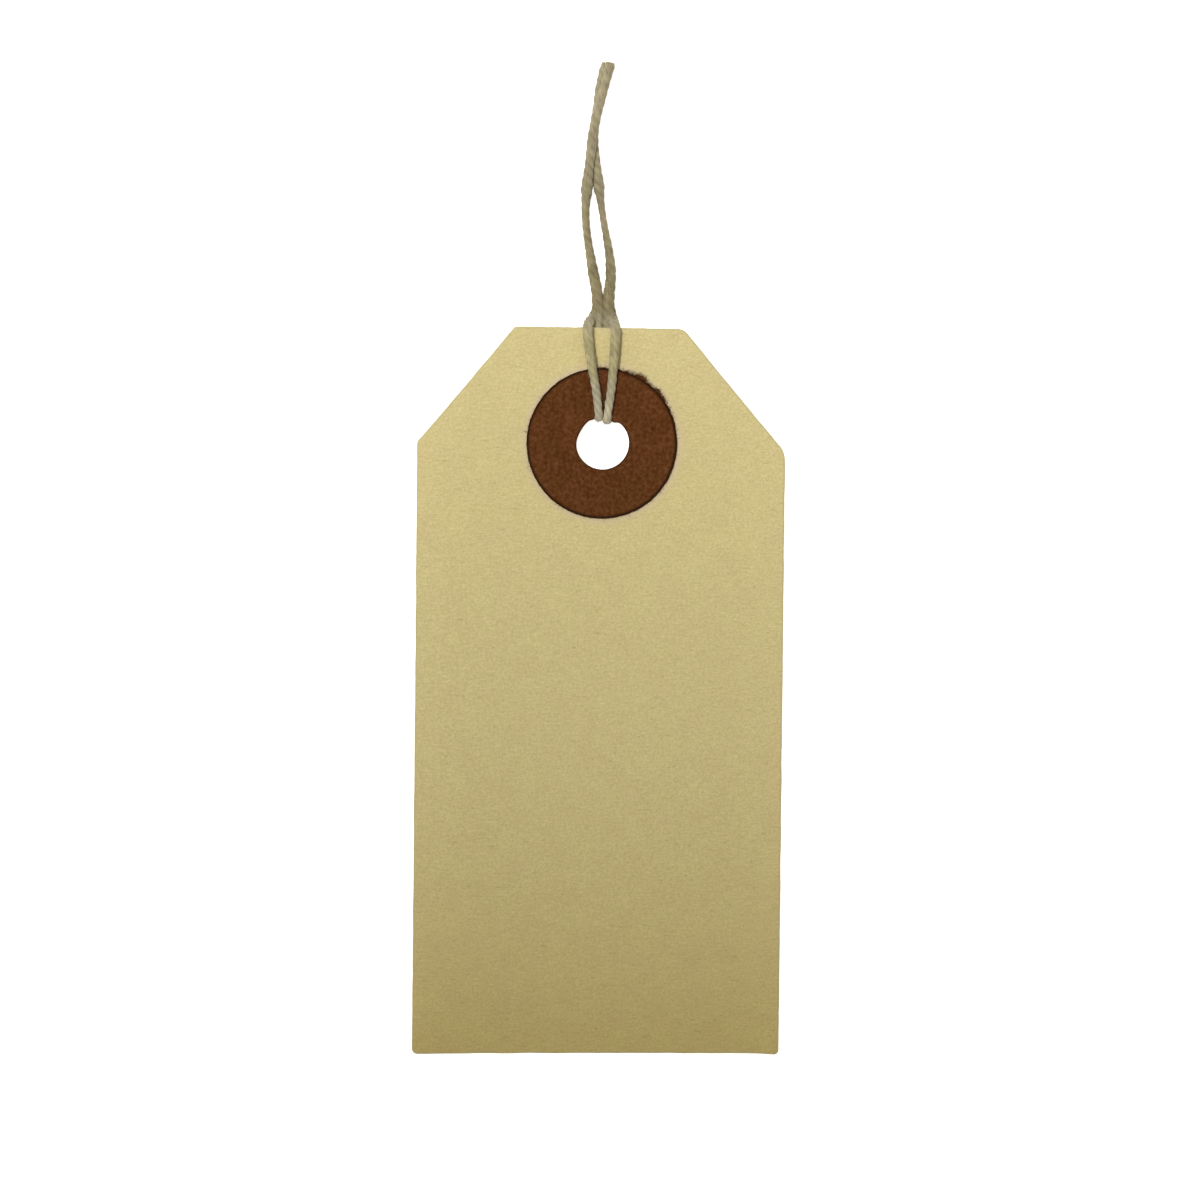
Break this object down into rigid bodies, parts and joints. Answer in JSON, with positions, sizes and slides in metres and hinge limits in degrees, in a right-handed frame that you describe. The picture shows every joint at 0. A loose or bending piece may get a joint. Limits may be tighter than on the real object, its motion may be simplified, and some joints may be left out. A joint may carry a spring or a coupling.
{
  "type": "gift tag",
  "caption": "Shouldered card tag with a reinforced tie hole and a doubled twine hitched through it, for labelling and tying to a parcel or gift.",
  "frame": {"origin": "middle of the card's outline, halfway through its thickness", "axes": "+Y along the card towards its tie hole and twine, +X to the right across it, +Z out of the side that is written on"},
  "size_m": [0.0354, 0.0959, 0.0041],
  "materials": {
    "manila_card": "matte",
    "brown_fibre": "matte",
    "natural_twine": "matte"
  },
  "bodies": {
    "card": {"tag_card": "manila_card", "front_patch": "brown_fibre", "rear_patch": "brown_fibre"},
    "hitch": {"twine_hitch": "natural_twine"},
    "tails": {"twine_tail_left": "natural_twine", "twine_tail_right": "natural_twine"}
  },
  "joints": [
    {"name": "hitch_swivel", "type": "hinge", "parent": "card", "child": "hitch", "pos_m": [0.0001, 0.02395, 0], "axis": [0, 0, 1], "range_deg": [-8, 8]},
    {"name": "tail_fold", "type": "hinge", "parent": "hitch", "child": "tails", "pos_m": [0, 0.03835, -0.00045], "axis": [1, 0, 0], "range_deg": [0, 150]}
  ]
}
